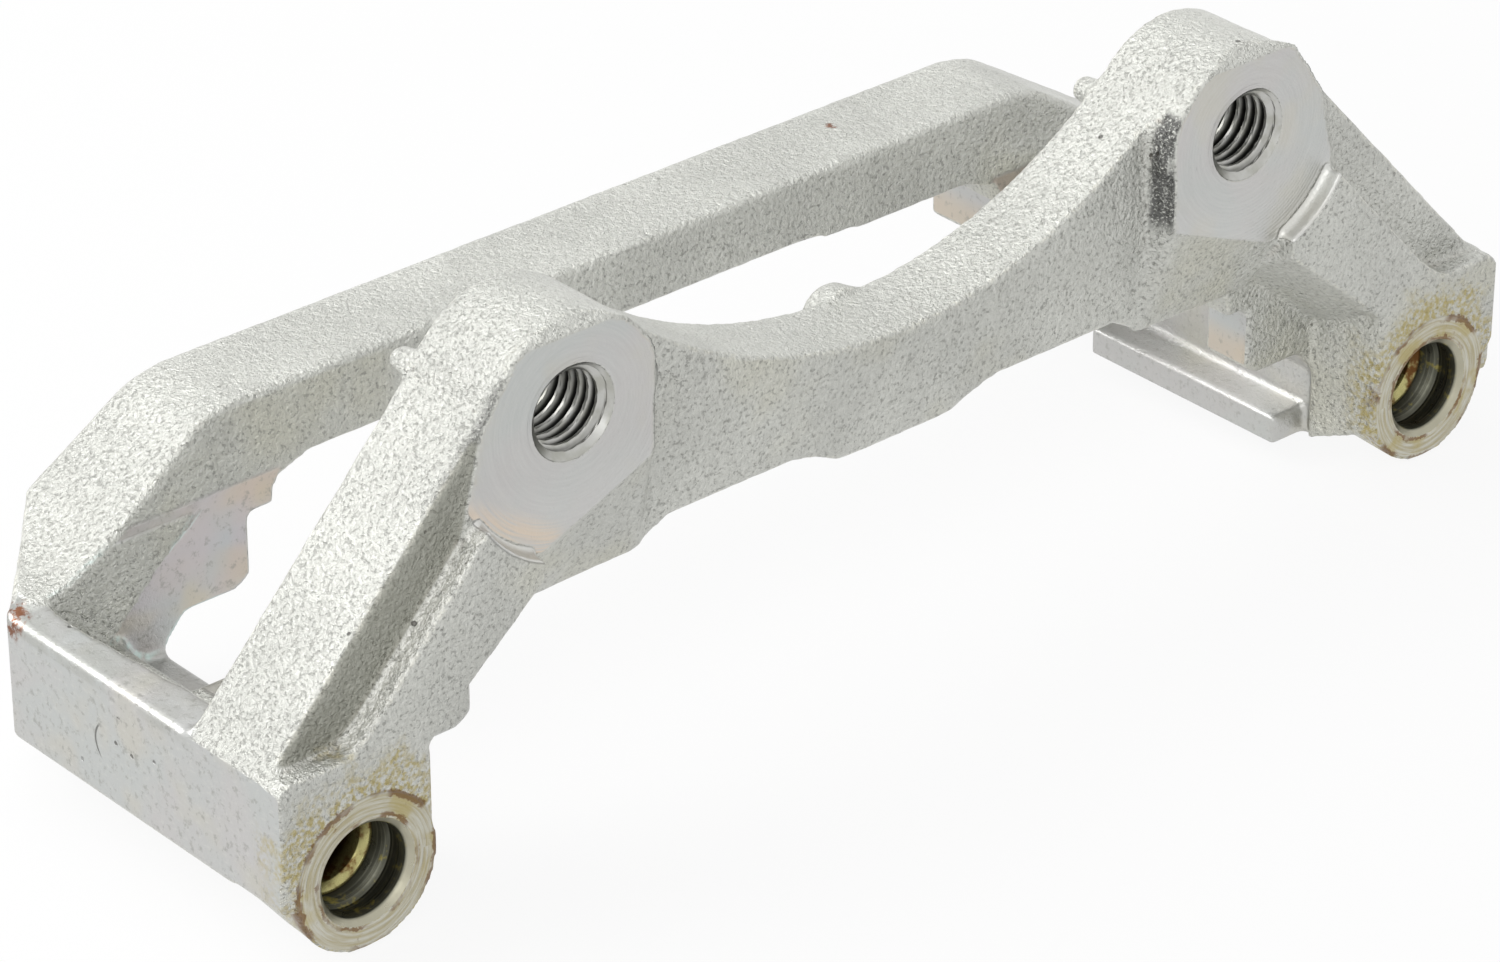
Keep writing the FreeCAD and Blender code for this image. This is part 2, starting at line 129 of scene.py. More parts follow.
class BracketSettings(PropertyGroup):
    """Sizes and colours of the finish."""

    voxel: FloatProperty(name="Skin step", description="Spacing of the cast skin's points",
                         default=0.62 * MM, min=0.3 * MM, max=2 * MM, subtype="DISTANCE", unit="LENGTH")
    rounds: IntProperty(name="Softening", description="How often the cast edges are relaxed",
                        default=4, min=0, max=40)
    skin_triangles: IntProperty(name="Skin triangles", description="Triangles kept in the cast skin",
                                default=188000, min=20000, max=195000)
    pitch: FloatProperty(name="Thread pitch", description="Rise of the ear threads in one turn",
                         default=PITCH, subtype="DISTANCE", unit="LENGTH")
    minor_r: FloatProperty(name="Thread core radius", description="Radius at the thread's crests",
                           default=CORE_R, subtype="DISTANCE", unit="LENGTH")
    thread_depth: FloatProperty(name="Thread depth", description="Height of the thread's flanks",
                                default=FLANK, subtype="DISTANCE", unit="LENGTH")
    mouth_r: FloatProperty(name="Thread mouth radius", description="Radius of the countersink at the face",
                           default=MOUTH_R, subtype="DISTANCE", unit="LENGTH")
    cast_colour: FloatVectorProperty(name="Cast zinc", description="Colour of the plated cast skin",
                                     default=(0.635, 0.64, 0.60), size=3, subtype="COLOR", min=0, max=1)
    turned_colour: FloatVectorProperty(name="Turned zinc", description="Colour of the machined faces",
                                       default=(0.545, 0.545, 0.52), size=3, subtype="COLOR", min=0, max=1)
    stain_colour: FloatVectorProperty(name="Stain", description="Olive yellow stain round the pin bosses",
                                      default=(0.46, 0.375, 0.12), size=3, subtype="COLOR", min=0, max=1)
    rust_colour: FloatVectorProperty(name="Rust", description="Rust in the bores and at the far corner",
                                     default=(0.17, 0.075, 0.02), size=3, subtype="COLOR", min=0, max=1)


# Node helpers

class Tree:
    """Adds and joins nodes in a node tree."""

    def __init__(self, tree):
        self.tree = tree
        self.x = 0

    def add(self, kind, **values):
        node = self.tree.nodes.new(kind)
        self.x += 180
        node.location = (self.x, -(len(self.tree.nodes) % 6) * 170)
        for key, value in values.items():
            setattr(node, key, value)
        return node

    def put(self, socket, value):
        if isinstance(value, bpy.types.NodeSocket):
            self.tree.links.new(value, socket)
        elif value is not None:
            socket.default_value = value

    def math(self, operation, a, b=None, c=None):
        node = self.add("ShaderNodeMath", operation=operation)
        for i, value in enumerate((a, b, c)):
            self.put(node.inputs[i], value)
        return node.outputs[0]

    def vector(self, operation, a, b=None):
        node = self.add("ShaderNodeVectorMath", operation=operation)
        self.put(node.inputs[0], a)
        self.put(node.inputs[1], b)
        return node.outputs["Value" if operation in {"LENGTH", "DISTANCE", "DOT_PRODUCT"} else "Vector"]

    def split(self, vector):
        node = self.add("ShaderNodeSeparateXYZ")
        self.put(node.inputs[0], vector)
        return node.outputs[0], node.outputs[1], node.outputs[2]

    def join(self, x, y, z):
        node = self.add("ShaderNodeCombineXYZ")
        for i, value in enumerate((x, y, z)):
            self.put(node.inputs[i], value)
        return node.outputs[0]

    def step(self, value, low, high, to_low=0.0, to_high=1.0):
        """Smooth ramp of a value between two limits."""
        node = self.add("ShaderNodeMapRange", interpolation_type="SMOOTHSTEP")
        for name, v in (("Value", value), ("From Min", low), ("From Max", high),
                        ("To Min", to_low), ("To Max", to_high)):
            self.put(node.inputs[name], v)
        return node.outputs["Result"]

    def mix(self, factor, a, b, blend="MIX"):
        node = self.add("ShaderNodeMix", data_type="RGBA", blend_type=blend)
        self.put(node.inputs[0], factor)
        for index, value in ((6, a), (7, b)):
            if not isinstance(value, bpy.types.NodeSocket):
                value = (*value, 1.0) if len(value) == 3 else value
            self.put(node.inputs[index], value)
        return node.outputs[2]

    def noise(self, vector, scale, detail=2.0, rough=0.5, warp=0.0):
        node = self.add("ShaderNodeTexNoise")
        self.put(node.inputs["Vector"], vector)
        for name, v in (("Scale", scale), ("Detail", detail), ("Roughness", rough), ("Distortion", warp)):
            self.put(node.inputs[name], v)
        return node.outputs["Fac"]

    def cells(self, vector, scale):
        node = self.add("ShaderNodeTexVoronoi", feature="F1")
        self.put(node.inputs["Vector"], vector)
        self.put(node.inputs["Scale"], scale)
        return node.outputs["Distance"]

    def group(self, tree, **values):
        node = self.add("ShaderNodeGroup")
        node.node_tree = tree
        for key, value in values.items():
            self.put(node.inputs[key.replace("_", " ")], value)
        return node.outputs


def new_group(name, inputs, outputs):
    """Empty shader group with its sockets."""
    tree = bpy.data.node_groups.new(name, "ShaderNodeTree")
    kinds = {"f": "NodeSocketFloat", "v": "NodeSocketVector", "c": "NodeSocketColor"}
    for label, kind in inputs:
        tree.interface.new_socket(label, in_out="INPUT", socket_type=kinds[kind])
    for label, kind in outputs:
        tree.interface.new_socket(label, in_out="OUTPUT", socket_type=kinds[kind])
    t = Tree(tree)
    return tree, t, t.add("NodeGroupInput").outputs, t.add("NodeGroupOutput").inputs


def cached(name, build):
    """Node group of that name, built on its first use."""
    return bpy.data.node_groups.get(name) or build(name)


def grain_group(name):
    """Rough cast skin: uneven lumps with small dark pits between them."""
    tree, t, i, o = new_group(name, [("Vector", "v"), ("Size", "f")],
                              [("Height", "f"), ("Pits", "f"), ("Lumps", "f")])
    scale = t.math("DIVIDE", 1.0, i["Size"])
    lumps = t.noise(i["Vector"], scale, 4.0, 0.62, 0.1)
    dots = t.noise(i["Vector"], t.math("MULTIPLY", scale, 1.25), 2.0, 0.6)
    pits = t.step(dots, 0.46, 0.30)
    t.put(o["Height"], t.math("MULTIPLY_ADD", pits, -0.35, t.math("MULTIPLY", lumps, 1.4)))
    t.put(o["Pits"], pits)
    t.put(o["Lumps"], t.step(lumps, 0.36, 0.64))
    return tree


def blot_group(name):
    """Ragged round patch about a point."""
    tree, t, i, o = new_group(name, [("Vector", "v"), ("Centre", "v"), ("Radius", "f"), ("Ragged", "f")],
                              [("Mask", "f")])
    far = t.vector("DISTANCE", i["Vector"], i["Centre"])
    share = t.math("DIVIDE", far, i["Radius"])
    rag = t.math("MULTIPLY", t.math("SUBTRACT", t.noise(i["Vector"], 420.0, 4.0, 0.65), 0.5), i["Ragged"])
    t.put(o["Mask"], t.step(t.math("ADD", share, rag), 0.55, 1.0, 1.0, 0.0))
    return tree


def axis_group(name):
    """Distance and angle about a hole's axis, the same on both halves of the bracket."""
    tree, t, i, o = new_group(name, [("Vector", "v"), ("Axis X", "f"), ("Axis Z", "f")],
                              [("Distance", "f"), ("Angle", "f")])
    x, _, z = t.split(i["Vector"])
    dx = t.math("SUBTRACT", t.math("ABSOLUTE", x), i["Axis X"])
    dz = t.math("SUBTRACT", z, i["Axis Z"])
    t.put(o["Distance"], t.vector("LENGTH", t.join(dx, 0.0, dz)))
    t.put(o["Angle"], t.math("ARCTAN2", dz, dx))
    return tree


def cutter_group(name):
    """Marks of a turning tool: rings about the axis and long uneven streaks along them."""
    tree, t, i, o = new_group(name, [("Distance", "f"), ("Angle", "f")], [("Rings", "f"), ("Streaks", "f")])
    t.put(o["Rings"], t.math("SINE", t.math("MULTIPLY", i["Distance"], 2 * math.pi / (0.62 * MM))))
    spot = t.join(t.math("DIVIDE", i["Distance"], 0.5 * MM), t.math("MULTIPLY", i["Angle"], 1.3), 0.0)
    t.put(o["Streaks"], t.noise(spot, 1.0, 3.0, 0.6))
    return tree


def near(t, value, target, width):
    """Mask that is one where the value lies within a width of the target."""
    off = t.math("ABSOLUTE", t.math("SUBTRACT", value, target))
    return t.step(off, width, width * 1.6, 1.0, 0.0)


def all_of(t, *masks):
    """Mask that is one where all the masks are."""
    made = masks[0]
    for m in masks[1:]:
        made = t.math("MULTIPLY", made, m)
    return made


def any_of(t, *masks):
    """Mask that is one where any of the masks is."""
    made = masks[0]
    for m in masks[1:]:
        made = t.math("MAXIMUM", made, m)
    return made


def metal(name):
    """New material with its Principled shader and a helper for its nodes."""
    material = bpy.data.materials.new(name)
    material.use_nodes = True
    shader = material.node_tree.nodes["Principled BSDF"]
    return material, Tree(material.node_tree), shader


def surfaces(t):
    """Coordinates, shared noises and masks that tell the casting's faces apart."""
    on = SimpleNamespace()
    on.place = t.add("ShaderNodeTexCoord").outputs["Object"]
    nx, on.ny, on.nz = t.split(t.add("ShaderNodeNewGeometry").outputs["Normal"])
    on.edge = t.add("ShaderNodeAttribute", attribute_name="edge").outputs["Fac"]
    on.x, on.y, on.z = t.split(on.place)
    on.ax = t.math("ABSOLUTE", on.x)
    on.inward = t.math("MULTIPLY", t.math("SIGN", on.x), nx)
    axis, cutter = cached("Hole Axis", axis_group), cached("Cutter Marks", cutter_group)
    ear = t.group(axis, Vector=on.place, Axis_X=EAR_X, Axis_Z=EAR_Z)
    pin = t.group(axis, Vector=on.place, Axis_X=PIN_X, Axis_Z=PIN_Z)
    on.ear_d, on.pin_d = ear["Distance"], pin["Distance"]
    on.ear_cut = t.group(cutter, Distance=on.ear_d, Angle=ear["Angle"])
    on.pin_cut = t.group(cutter, Distance=on.pin_d, Angle=pin["Angle"])
    on.broad = t.noise(on.place, 45.0, 3.0)
    on.middle = t.noise(on.place, 160.0, 3.0)
    on.fine = t.noise(on.place, 700.0, 4.0, 0.7)

    front = t.step(on.ny, -0.97, -0.9, 1.0, 0.0)
    top = t.step(on.nz, 0.9, 0.96)
    side = t.step(t.math("ABSOLUTE", nx), 0.9, 0.96)
    on.ear_face = all_of(t, front, near(t, on.y, EAR_Y, 0.25 * MM),
                         t.step(on.ear_d, EAR_FACE_R, EAR_FACE_R + 0.4 * MM, 1.0, 0.0))
    on.ring = all_of(t, front, near(t, on.y, RING_Y, 0.25 * MM),
                     t.step(on.pin_d, RING_R, RING_R + 0.6 * MM, 1.0, 0.0))
    on.foot = all_of(t, near(t, on.ear_d, 20.7 * MM, 0.8 * MM), t.step(on.y, EAR_Y, EAR_Y - 0.4 * MM),
                     t.step(on.z, EAR_Z - 6 * MM, EAR_Z - 8 * MM))
    on.outer = all_of(t, side, t.step(on.ax, OUTER_X - 0.8 * MM, OUTER_X - 0.5 * MM))
    on.strip = all_of(t, top, near(t, on.z, STRIP_Z, FACE_BAND), t.step(on.ax, 112 * MM, 113 * MM))
    on.pad = all_of(t, front, near(t, on.y, PAD_Y, FACE_BAND), t.step(on.ax, 72.5 * MM, 74 * MM),
                    t.step(on.z, 38.4 * MM, 37.2 * MM))
    on.window = all_of(t, side, near(t, on.ax, WINDOW_X, FACE_BAND))
    slot = all_of(t, t.step(on.ax, 80 * MM, 81 * MM), t.step(on.z, 23.0 * MM, 22.2 * MM),
                  t.step(on.y, -31 * MM, -30 * MM), t.step(on.ax, 104 * MM, 103 * MM))
    on.corner = all_of(t, t.step(on.ax, 120.5 * MM, 121.5 * MM), near(t, on.z, 30.8 * MM, 1.1 * MM),
                       t.step(on.y, -24 * MM, -22 * MM))
    on.turned = any_of(t, on.ear_face, on.ring, on.foot)
    on.ground = any_of(t, on.outer, on.strip, on.pad, on.window, on.corner, t.math("MULTIPLY", slot, 0.85))
    on.smooth = any_of(t, on.turned, on.ground)
    return on


def cast_look(t, on, grain, cast):
    """Colour of the cast skin: dull grey, warm in patches, with painted shade on the grain, in a recess and
    in hollows, and painted highlights on a band and on edges.
    """
    colour = t.mix(t.step(on.broad, 0.3, 0.7), tuple(c * 0.93 for c in cast), tuple(c * 1.08 for c in cast))
    patch = t.noise(on.place, 28.0, 3.0, 0.6)
    warm = all_of(t, t.step(patch, 0.48, 0.66), t.step(on.nz, 0.55, 0.25))
    tint = tuple(c * k for c, k in zip(cast, WARM_TINT))
    colour = t.mix(t.math("MULTIPLY", warm, 0.5), colour, tint)
    # Painted shade mottling the grain's lumps
    colour = t.mix(t.math("MULTIPLY", grain["Lumps"], 0.22), colour, LUMP_SHADE)
    # Painted shade in the grain's pits, stronger on faces that do not face up
    pit_shade_share = t.step(on.nz, 0.2, 0.5, 0.55, 0.32)
    colour = t.mix(t.math("MULTIPLY", grain["Pits"], pit_shade_share), colour, PIT_SHADE)
    # Painted shade in the recess on the left front
    recess_shade = all_of(t, t.step(on.ny, -0.6, -0.85), t.step(on.y, -39.95 * MM, -39.7 * MM),
                    t.step(on.y, -37 * MM, -38 * MM), t.step(on.x, -78 * MM, -81 * MM))
    colour = t.mix(t.math("MULTIPLY", recess_shade, 0.65), colour, RECESS_SHADE)
    # Painted shade, tinted brown, in concave corners
    hollow_shade = t.step(on.edge, -0.12, -0.4)
    colour = t.mix(t.math("MULTIPLY", hollow_shade, 0.3), colour, HOLLOW_SHADE)
    # Painted highlight: a bright band on upward, outward sloping faces at the front below the ears
    band_highlight = all_of(t, t.step(on.inward, 0.35, 0.6), t.step(on.y, -39.6 * MM, -40.3 * MM),
                   t.step(on.z, 62 * MM, 58 * MM), t.step(on.nz, 0.3, 0.5),
                   t.step(on.ax, 118 * MM, 114 * MM))
    colour = t.mix(t.math("MULTIPLY", band_highlight, t.step(on.fine, 0.40, 0.52)), colour, BAND_HIGHLIGHT)
    # Painted highlight glinting on convex edges
    edge_glint = t.math("MULTIPLY", t.step(on.edge, 0.1, 0.4), t.step(on.fine, 0.45, 0.6))
    return t.mix(t.math("MULTIPLY", edge_glint, 0.5), colour, EDGE_GLINT)


def dark_wall_reflections(t, on, colour):
    """Painted dark reflection: coarse black specks on the ears' inner walls and, weaker, on their outer
    flanks.
    """
    wall = all_of(t, t.step(on.inward, -0.45, -0.7), near(t, on.ax, 51.4 * MM, 1.4 * MM),
                  t.step(on.z, 57 * MM, 61 * MM), t.step(on.y, -36 * MM, -37 * MM))
    flank = all_of(t, t.step(on.inward, 0.4, 0.7), t.step(on.y, -39.5 * MM, -37.5 * MM, 1.0, 0.0),
                   near(t, on.ax, 86 * MM, 5 * MM), t.step(on.z, 58 * MM, 61 * MM))
    speck = t.step(t.noise(on.place, 2200.0, 3.0, 0.7), 0.66, 0.50)
    # The painted dark reflection, speckled
    dark = t.math("MULTIPLY", any_of(t, wall, t.math("MULTIPLY", flank, 0.7)), speck)
    return t.mix(t.math("MULTIPLY", dark, 0.85), colour, DARK_REFLECTION)


def machined_look(t, on, turned):
    """Colour of machined zinc: faint rainbow, finer mottle, scratches and streaks of the cutter."""
    cool = t.step(t.noise(on.place, 60.0, 2.0, 0.5, 0.6), 0.35, 0.65)
    sheen = t.mix(cool, SHEEN_ROSE, SHEEN_BLUE)
    sheen = t.mix(t.step(t.noise(on.place, 85.0, 2.0), 0.5, 0.7), sheen, SHEEN_STRAW)
    bright = t.mix(t.math("MULTIPLY_ADD", on.pad, 0.45, 0.3), turned, sheen)
    drift = t.noise(t.join(t.math("MULTIPLY", on.ax, 0.5), 0.0, on.z), 75.0, 2.0)
    flush = all_of(t, any_of(t, on.pad, on.window), t.step(drift, 0.42, 0.6))
    flush = t.math("MULTIPLY", flush, t.step(on.ax, 88 * MM, 81 * MM, 0.12, 0.5))
    bright = t.mix(flush, bright, FLUSH_COPPER)
    streaks = t.math("MULTIPLY", t.step(on.ear_cut["Streaks"], 0.3, 0.75),
                     t.math("MULTIPLY", on.ear_face, 0.3))
    bright = t.mix(streaks, bright, STREAK_GREY)
    low = all_of(t, on.ear_face, t.step(on.z, 66 * MM, 52 * MM))
    bright = t.mix(t.math("MULTIPLY", low, 0.25), bright, LOW_GREY)
    bright = t.mix(t.math("MULTIPLY", on.foot, 0.6), bright, FOOT_WHITE)
    scratch = t.noise(t.join(0.0, t.math("MULTIPLY", on.y, 0.4), on.z), 1600.0, 3.0, 0.7)
    bright = t.mix(t.math("MULTIPLY", t.step(scratch, 0.5, 0.7), t.math("MULTIPLY", on.outer, 0.35)), bright,
                   SCRATCH_GREY)
    dull = t.math("MULTIPLY", any_of(t, on.strip, on.corner), 0.4)
    bright = t.mix(t.math("MULTIPLY", t.step(on.middle, 0.35, 0.6), dull), bright, STRIP_GREY)
    bright = t.mix(t.math("MULTIPLY", nick_mask(t, on), 0.85), bright, NICK_GREY)
    return t.mix(t.math("MULTIPLY", t.step(on.fine, 0.47, 0.33), t.math("MULTIPLY", on.ground, 0.5)), bright,
                 MOTTLE_GREY)


def nick_mask(t, on):
    """Small curved nick in the left bridge's outer face."""
    above = t.math("SUBTRACT", on.z, NICK_Z)
    curve = t.math("MULTIPLY", above, above)
    return all_of(t, on.outer, t.step(on.x, 0.0, -MM), near(t, on.z, NICK_Z, 2 * MM),
                  near(t, t.math("MULTIPLY_ADD", curve, 150.0, on.y), 0.6 * MM, 0.16 * MM))


def pocket_highlight(t, on):
    """Painted highlight: a pale line at the foot of the far pad pocket."""
    return all_of(t, near(t, on.y, 22.6 * MM, 1.2 * MM), t.step(t.math("ABSOLUTE", on.edge), 0.04, 0.14),
                  t.step(on.ax, 84 * MM, 86 * MM), t.step(on.z, 37 * MM, 35.5 * MM),
                  t.step(on.ny, -0.2, -0.5))


def ear_tints(t, on, colour):
    """Yellow rims of the ear faces, and a copper blush low on the left one."""
    rim = all_of(t, on.ear_face, t.step(on.edge, 0.02, 0.25), t.step(on.middle, 0.3, 0.55))
    colour = t.mix(t.math("MULTIPLY", rim, 0.6), colour, RIM_YELLOW)
    slant = t.math("MULTIPLY_ADD", t.math("ADD", on.x, 72 * MM), 0.6, on.z)
    blush = all_of(t, on.ear_face, t.step(slant, 56 * MM, 51 * MM), t.step(on.x, -68 * MM, -72 * MM),
                   t.step(on.ear_cut["Streaks"], 0.3, 0.6))
    return t.mix(t.math("MULTIPLY", blush, 0.5), colour, BLUSH_COPPER)


def boss_stains(t, on, colour, stain_colour, rust_colour):
    """Turned rings of the pin bosses with pale arcs, olive film and ragged rust at the rims."""
    face = t.mix(t.step(on.pin_cut["Streaks"], 0.35, 0.65), RING_OLIVE, RING_GREY)
    face = t.mix(t.math("MULTIPLY", t.step(on.middle, 0.52, 0.68), 0.7), face, stain_colour)
    colour = t.mix(t.math("MULTIPLY", on.ring, 0.9), colour, face)
    reach = t.math("MULTIPLY_ADD", t.math("SUBTRACT", on.middle, 0.5), 16 * MM, on.pin_d)
    reach = t.math("SUBTRACT", reach, t.step(on.z, PIN_Z - 4 * MM, PIN_Z + 10 * MM, 0.0, 3 * MM))
    over = all_of(t, t.step(reach, 11.5 * MM, 17 * MM, 1.0, 0.0), t.step(on.y, -36 * MM, -41 * MM),
                  t.step(t.noise(on.place, 1100.0, 3.0, 0.6), 0.36, 0.64), t.step(on.ring, 0.9, 0.1))
    colour = t.mix(t.math("MULTIPLY", over, 0.8), colour, stain_colour)
    wander = t.math("MULTIPLY_ADD", t.math("SUBTRACT", on.fine, 0.5), 2.4 * MM, on.pin_d)
    lips = any_of(t, near(t, wander, 12.3 * MM, 0.4 * MM), near(t, wander, 8.9 * MM, 0.25 * MM))
    lips = all_of(t, lips, t.step(on.middle, 0.44, 0.58))
    spots = all_of(t, t.step(on.fine, 0.62, 0.70), t.step(on.pin_d, 19 * MM, 12 * MM),
                   t.step(on.middle, 0.50, 0.62))
    rusty = all_of(t, any_of(t, lips, spots), t.step(on.y, -40.5 * MM, -42.5 * MM))
    colour = t.mix(t.math("MULTIPLY", rusty, 0.75), colour, rust_colour)
    return colour, t.math("MAXIMUM", t.math("MULTIPLY", on.ring, 0.6), over)


def rust_spots(t, on, colour):
    """Rust at the far left corner and a spot on the far beam."""
    blot = cached("Ragged Blot", blot_group)
    masks = [t.group(blot, Vector=on.place, Centre=centre, Radius=radius, Ragged=ragged)["Mask"]
             for centre, radius, ragged in RUST_BLOTS]
    rust = t.math("MULTIPLY", any_of(t, *masks), t.step(on.fine, 0.42, 0.55))
    return t.mix(t.math("MULTIPLY", rust, 0.93), colour, CORNER_RUST)


def pore_mask(t, on):
    """Sparse pores, in some patches only and never on the turned faces."""
    shaken = t.vector("ADD", on.place, t.join(t.math("MULTIPLY", on.fine, 1.2 * MM), 0.0, 0.0))
    pore = t.step(t.cells(shaken, 190.0), 0.05, 0.09, 1.0, 0.0)
    return all_of(t, pore, t.step(on.broad, 0.5, 0.58), t.step(on.turned, 0.5, 0.1))


def bracket_zinc(s):
    """Zinc plate over the whole casting: rough skin, turned faces, stains, rust and pores."""
    material, t, shader = metal("bracket_zinc")
    on = surfaces(t)
    grain = t.group(cached("Cast Grain", grain_group), Vector=on.place, Size=GRAIN_SIZE)
    # Painted dark reflection on the ears' walls
    colour = dark_wall_reflections(t, on, cast_look(t, on, grain, tuple(s.cast_colour)))
    colour = t.mix(on.smooth, colour, machined_look(t, on, tuple(s.turned_colour)))
    # Painted highlight on the far pocket's edge
    colour = t.mix(t.math("MULTIPLY", pocket_highlight(t, on), 0.8), colour, LINE_HIGHLIGHT)
    colour = ear_tints(t, on, colour)
    colour, stain = boss_stains(t, on, colour, tuple(s.stain_colour), tuple(s.rust_colour))
    colour = rust_spots(t, on, colour)
    pore = pore_mask(t, on)
    colour = t.mix(t.math("MULTIPLY", pore, 0.75), colour, PORE_BLACK)
    t.put(shader.inputs["Base Color"], colour)
    shader.inputs["Metallic"].default_value = 0.8
    rough = t.step(on.smooth, 0.0, 1.0, 0.35, 0.36)
    rough = t.math("MULTIPLY_ADD", t.math("SUBTRACT", on.middle, 0.5), 0.12, rough)
    t.put(shader.inputs["Roughness"], t.math("MULTIPLY_ADD", stain, 0.2, rough))

    # Relief: grain on the skin, turning marks on the faces
    lift = t.math("MULTIPLY", grain["Height"], t.step(on.smooth, 0.0, 1.0, 1.0, 0.12))
    lift = t.math("MULTIPLY_ADD", t.math("MULTIPLY", on.ear_cut["Rings"], on.ear_face), 0.03, lift)
    lift = t.math("MULTIPLY_ADD", t.math("MULTIPLY", on.pin_cut["Streaks"], on.ring), 0.5, lift)
    lift = t.math("MULTIPLY_ADD", pore, -0.9, lift)
    bump = t.add("ShaderNodeBump")
    bump.inputs["Strength"].default_value = 1.0
    bump.inputs["Distance"].default_value = 0.48 * MM
    t.put(bump.inputs["Height"], lift)
    t.put(shader.inputs["Normal"], bump.outputs["Normal"])
    return material


def thread_zinc(s):
    """Threads: bright crests, painted shade in the roots and deeper in the hole."""
    material, t, shader = metal("thread_zinc")
    place = t.add("ShaderNodeTexCoord").outputs["Object"]
    d = t.group(cached("Hole Axis", axis_group), Vector=place, Axis_X=EAR_X, Axis_Z=EAR_Z)["Distance"]
    _, y, _ = t.split(place)
    inside = t.step(y, EAR_Y + 1.4 * MM, EAR_Y + 2.2 * MM)
    # Painted shade in the thread roots, behind the mouth
    root = t.math("MULTIPLY", t.step(d, s.minor_r + 0.1 * MM, s.minor_r + 0.75 * s.thread_depth), inside)
    colour = t.mix(t.step(t.noise(place, 420.0, 3.0), 0.35, 0.65), tuple(s.turned_colour), THREAD_MOTTLE)
    colour = t.mix(t.math("MULTIPLY", root, 0.93), colour, ROOT_SHADE)
    # Painted shade growing deeper into the hole
    colour = t.mix(t.step(y, EAR_Y + 2 * MM, EAR_Y + 16 * MM, 0.0, 0.6), colour, DEPTH_SHADE)
    t.put(shader.inputs["Base Color"], colour)
    shader.inputs["Metallic"].default_value = 0.85
    shader.inputs["Roughness"].default_value = 0.30
    return material


def bore_zinc(s):
    """Pin bores: bright chamfer, dark olive seat with tool marks, rusty step and painted shade, brown-black,
    in the depth.
    """
    material, t, shader = metal("bore_zinc")
    place = t.add("ShaderNodeTexCoord").outputs["Object"]
    _, y, _ = t.split(place)
    depth = t.math("SUBTRACT", y, RING_Y)
    dirt = t.noise(place, 330.0, 4.0, 0.65)
    rings = t.noise(t.join(0.0, t.math("DIVIDE", depth, 0.6 * MM), 0.0), 1.0, 3.0)
    seat = t.mix(t.step(rings, 0.3, 0.7), SEAT_DARK, SEAT_GREY)
    seat = t.mix(t.step(dirt, 0.56, 0.72), seat, SEAT_STAIN)
    step = t.mix(t.step(dirt, 0.42, 0.6), STEP_OLIVE, tuple(s.rust_colour))
    colour = t.mix(t.step(depth, 0.7 * MM, 1.1 * MM), CHAMFER_GREY, seat)
    colour = t.mix(t.step(depth, 8.6 * MM, 9.0 * MM), colour, step)
    # Painted shade, brown-black, deep in the bore
    colour = t.mix(t.step(depth, 10.0 * MM, 13.0 * MM), colour, BORE_SHADE)
    t.put(shader.inputs["Base Color"], colour)
    shader.inputs["Metallic"].default_value = 0.8
    t.put(shader.inputs["Roughness"], t.step(dirt, 0.3, 0.7, 0.26, 0.5))
    bump = t.add("ShaderNodeBump")
    bump.inputs["Strength"].default_value = 0.7
    bump.inputs["Distance"].default_value = 0.08 * MM
    t.put(bump.inputs["Height"], t.math("ADD", rings, t.math("MULTIPLY", dirt, 0.5)))
    t.put(shader.inputs["Normal"], bump.outputs["Normal"])
    return material


# Meshes

def linked(name, mesh, material):
    """New object of the mesh, in the scene, with its material if it has one."""
    obj = bpy.data.objects.new(name, mesh)
    bpy.context.scene.collection.objects.link(obj)
    if material:
        mesh.materials.clear()
        mesh.materials.append(material)
    return obj


def applied(obj):
    """Plain mesh of the object with its modifiers."""
    graph = bpy.context.evaluated_depsgraph_get()
    mesh = bpy.data.meshes.new_from_object(obj.evaluated_get(graph))
    old = obj.data
    obj.modifiers.clear()
    obj.data = mesh
    bpy.data.meshes.remove(old)
    return obj


def points_of(mesh):
    """The mesh's points as rows of x, y and z."""
    co = np.empty(len(mesh.vertices) * 3)
    mesh.vertices.foreach_get("co", co)
    return co.reshape(-1, 3)


def keep_share(co):
    """How freely each point of the skin may move: one on cast edges, less on machined ones."""
    ax, y, z = np.abs(co[:, 0]), co[:, 1], co[:, 2]
    free = np.ones(len(co))
    ear = np.hypot(ax - EAR_X, z - EAR_Z)
    pin = np.hypot(ax - PIN_X, z - PIN_Z)
    free[(y < EAR_Y + 0.6 * MM) & (ear < 22 * MM)] = 0.25
    free[(y < RING_Y + 0.6 * MM) & (pin < 13 * MM)] = 0.35
    free[(ax > 123 * MM) & (y < 22 * MM)] = 0.4
    free[(y > 18 * MM) & (y < 23 * MM) & (ax > 74 * MM)] = 0.35
    free[(ax > 78.5 * MM) & (ax < 105 * MM) & (z < 32 * MM)] = 0.35
    return free


def true_round(co):
    """Puts the points of the bosses and crowns, flat between the solid's facets, on their true radius."""
    for axis_x, axis_z, first_r, last_r, top_only in ROUNDS:
        dx, dz = np.abs(co[:, 0]) - axis_x, co[:, 2] - axis_z
        share = (co[:, 1] - RING_Y) / (BACK_Y - RING_Y)
        want = first_r + (last_r - first_r) * share
        have = np.hypot(dx, dz)
        pick = (share > 0.01) & (share < 0.99) & (np.abs(have - want) < 0.2 * MM)
        if top_only:
            pick &= dz > 0
        scale = want[pick] / have[pick]
        co[pick, 0] = np.sign(co[pick, 0]) * (axis_x + dx[pick] * scale)
        co[pick, 2] = axis_z + dz[pick] * scale


